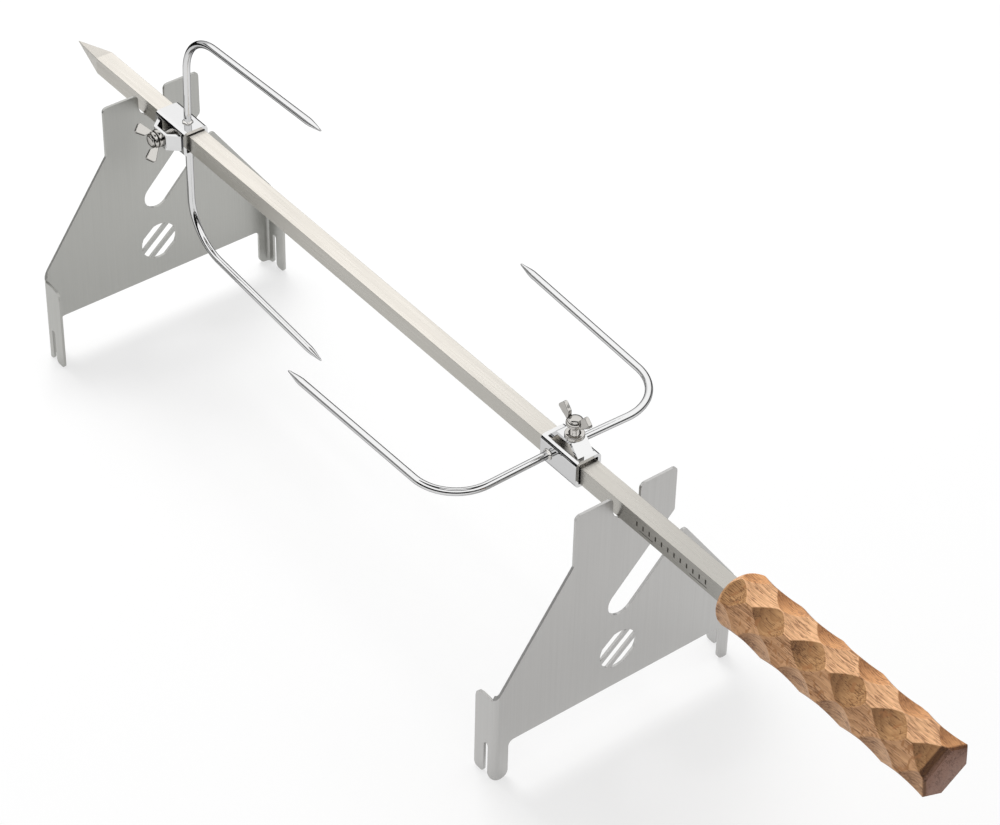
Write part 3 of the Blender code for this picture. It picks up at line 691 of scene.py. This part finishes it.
CAMERA_AZIMUTH = math.radians(51.95)
CAMERA_ELEVATION = math.radians(39.49)
CAMERA_ROLL = math.radians(1.12)
CAMERA_TARGET = Vector((14.65 * MM, 0, AXIS_Z))
CAMERA_DISTANCE = 1.6
LENS = 119.45
SHIFT_X, SHIFT_Y = 0.0262, -0.0376
KEY_LIGHT = Vector((-0.6, 0.12, 0.79)).normalized()
KEY_DISTANCE, KEY_SIZE, KEY_POWER = 2.2, (1.2, 0.8), 26
BRIGHT_SIDE = Vector((-0.62, 0.48, 0.64)).normalized()  # where the room is brightest
ROOM_DARKEST, ROOM_BRIGHTEST = 0.4, 1.0
FLOOR_REACH = 9
FLOOR_TONE, FLOOR_GLOW = 0.36, 0.61
CARD_STEPS = 48
BRIGHT_CARD, DIM_CARD, DARK_CARD = 1.34, 0.05, 0.0


def make_camera():
    data = bpy.data.cameras.new("camera")
    data.sensor_width = 36
    data.lens = LENS
    data.shift_x = SHIFT_X
    data.shift_y = SHIFT_Y
    data.clip_start = 0.05
    data.clip_end = 20
    camera = bpy.data.objects.new("camera", data)
    scene.collection.objects.link(camera)
    level = math.cos(CAMERA_ELEVATION)
    back = Vector(
        (math.sin(CAMERA_AZIMUTH) * level, -math.cos(CAMERA_AZIMUTH) * level, math.sin(CAMERA_ELEVATION))
    )
    camera.location = CAMERA_TARGET + back * CAMERA_DISTANCE
    turn = back.to_track_quat("Z", "Y").to_matrix().to_4x4()
    camera.rotation_euler = (turn @ Matrix.Rotation(CAMERA_ROLL, 4, "Z")).to_euler()
    scene.camera = camera


def softbox(name, direction, distance, size, power):
    """A soft light that neither the camera nor a reflection sees."""
    data = bpy.data.lights.new(name, "AREA")
    data.shape = "RECTANGLE"
    data.size, data.size_y = size
    data.energy = power
    light = bpy.data.objects.new(name, data)
    light.location = Vector((0, 0, AXIS_Z)) + direction * distance
    light.rotation_euler = direction.to_track_quat("Z", "Y").to_euler()
    light.visible_camera = False
    light.visible_glossy = False
    scene.collection.objects.link(light)


def make_world():
    """A white room, brightest behind the set and above it, as the camera sees it."""
    world = bpy.data.worlds.new("studio")
    world.use_nodes = True
    tree = world.node_tree
    place = tree.nodes.new("ShaderNodeTexCoord")
    lean = tree.nodes.new("ShaderNodeVectorMath")
    lean.operation = "DOT_PRODUCT"
    lean.inputs[1].default_value = BRIGHT_SIDE
    tree.links.new(place.outputs["Generated"], lean.inputs[0])
    spread = tree.nodes.new("ShaderNodeMapRange")
    spread.interpolation_type = "SMOOTHSTEP"
    spread.inputs["From Min"].default_value = -0.2
    spread.inputs["From Max"].default_value = 1.0
    spread.inputs["To Min"].default_value = ROOM_DARKEST
    spread.inputs["To Max"].default_value = ROOM_BRIGHTEST
    tree.links.new(lean.outputs["Value"], spread.inputs["Value"])
    back = tree.nodes["Background"]
    back.inputs["Color"].default_value = (1, 1, 1, 1)
    tree.links.new(spread.outputs["Result"], back.inputs["Strength"])
    scene.world = world


def make_floor():
    mesh = bpy.data.meshes.new("floor")
    signs = ((-1, -1), (1, -1), (1, 1), (-1, 1))
    corners = [(x * FLOOR_REACH, y * FLOOR_REACH, 0) for x, y in signs]
    mesh.from_pydata(corners, [], [(0, 1, 2, 3)])
    look = bpy.data.materials.new("floor")
    look.use_nodes = True
    surface = look.node_tree.nodes["Principled BSDF"]
    surface.inputs["Base Color"].default_value = (FLOOR_TONE, FLOOR_TONE, FLOOR_TONE, 1)
    surface.inputs["Roughness"].default_value = 0.9
    surface.inputs["Specular IOR Level"].default_value = 0.0
    surface.inputs["Emission Color"].default_value = (1, 1, 1, 1)
    surface.inputs["Emission Strength"].default_value = FLOOR_GLOW
    mesh.materials.append(look)
    floor = bpy.data.objects.new("floor", mesh)
    scene.collection.objects.link(floor)


def card(name, first, last, glow, start=0, end=360):
    """A card curved round the set from start to end degrees, which only reflections show.

    first and last are the (radius, height) of its edges.
    """
    builder = bmesh.new()
    pairs = []
    for step in range(CARD_STEPS + 1):
        angle = math.radians(start + (end - start) * step / CARD_STEPS)
        x, y = math.cos(angle), math.sin(angle)
        edge = [(radius * x, radius * y, height) for radius, height in (first, last)]
        pairs.append([builder.verts.new(point) for point in edge])
    for before, after in zip(pairs, pairs[1:]):
        builder.faces.new((before[0], after[0], after[1], before[1]))
    mesh = bpy.data.meshes.new(name)
    builder.to_mesh(mesh)
    builder.free()
    look = bpy.data.materials.new(name)
    look.use_nodes = True
    surface = look.node_tree.nodes["Principled BSDF"]
    surface.inputs["Base Color"].default_value = (0.01, 0.01, 0.01, 1)
    surface.inputs["Specular IOR Level"].default_value = 0.0
    surface.inputs["Emission Color"].default_value = (1, 1, 1, 1)
    surface.inputs["Emission Strength"].default_value = glow
    mesh.materials.append(look)
    made = bpy.data.objects.new(name, mesh)
    made.visible_camera = False
    made.visible_diffuse = False
    made.visible_shadow = False
    scene.collection.objects.link(made)


soften("stand_far", LOOKS["stand"], STAND_EDGE)
soften("stand_near", LOOKS["stand"], STAND_EDGE)
soften("spit_bar", LOOKS["bar"], BAR_EDGE)
build_handle()
build_forks()
make_camera()
make_world()
make_floor()
softbox("key", KEY_LIGHT, KEY_DISTANCE, KEY_SIZE, KEY_POWER)
card("card_ceiling", (1.3, 2.4), (5.0, 2.4), BRIGHT_CARD)
card("card_ring", (0.5, 2.4), (1.3, 2.4), DIM_CARD)
card("card_zenith", (0.01, 2.4), (0.5, 2.4), BRIGHT_CARD)
card("card_front", (3.0, 0.03), (3.0, 1.5), DARK_CARD, 250, 350)
card("card_back", (3.0, 0.2), (3.0, 0.95), DARK_CARD, -10, 146)
card("card_left", (3.0, 0.7), (3.0, 1.2), DARK_CARD, 190, 250)
card("card_ground", (0.55, 0.02), (3.0, 0.02), DARK_CARD)
scene.view_settings.view_transform = "Standard"
